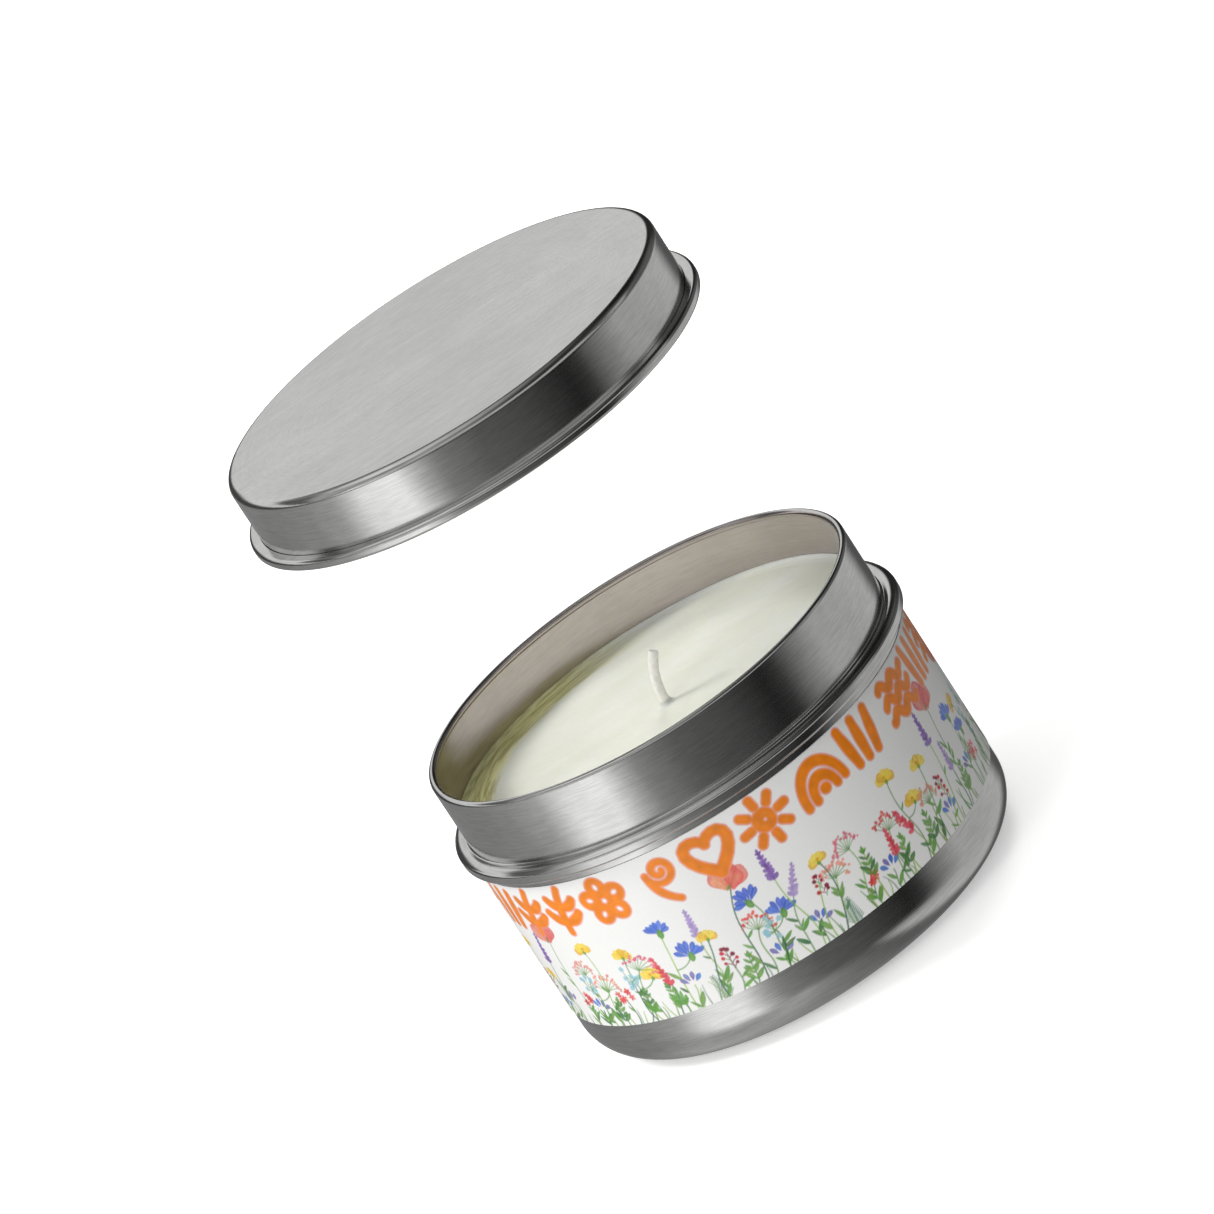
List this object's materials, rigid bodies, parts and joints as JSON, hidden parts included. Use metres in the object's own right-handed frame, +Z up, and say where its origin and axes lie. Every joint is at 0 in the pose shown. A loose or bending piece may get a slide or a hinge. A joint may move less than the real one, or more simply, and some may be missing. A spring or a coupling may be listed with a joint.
{
  "type": "candle tin",
  "caption": "Round slip-lid steel tin with a beaded neck, wrap label, poured wax and a cotton wick; the lid lifts straight off.",
  "frame": {"origin": "centre of the base, on the plane of the ring that the tin stands on", "axes": "+Z up along the tin's axis; -Y is the front of the label and +Y is where its ends overlap; the wick leans towards +X"},
  "size_m": [0.0834, 0.0834, 0.1157],
  "materials": {
    "brushed_tin": "fine lines brushed round the axis, satin",
    "wax": "smooth ivory-green soy wax, soft sheen",
    "wick_cotton": "braided cotton, wax-coated",
    "tab_steel": "plain stamped tinplate",
    "pad_foam": "matte closed-cell foam",
    "label_film": "white printed film, satin, with a meadow of flowers and a brush-stroke band"
  },
  "bodies": {
    "tin": {"tin_body": "brushed_tin", "wax_fill": "wax", "wick": "wick_cotton", "wick_tab": "tab_steel", "adhesive_pad": "pad_foam", "wrap_label": "label_film"},
    "lid": {"lid": "brushed_tin"}
  },
  "joints": [
    {"name": "lid_lift", "type": "slide", "parent": "tin", "child": "lid", "axis": [0, 0, 1], "range_m": [-0.06, 0.02]}
  ]
}
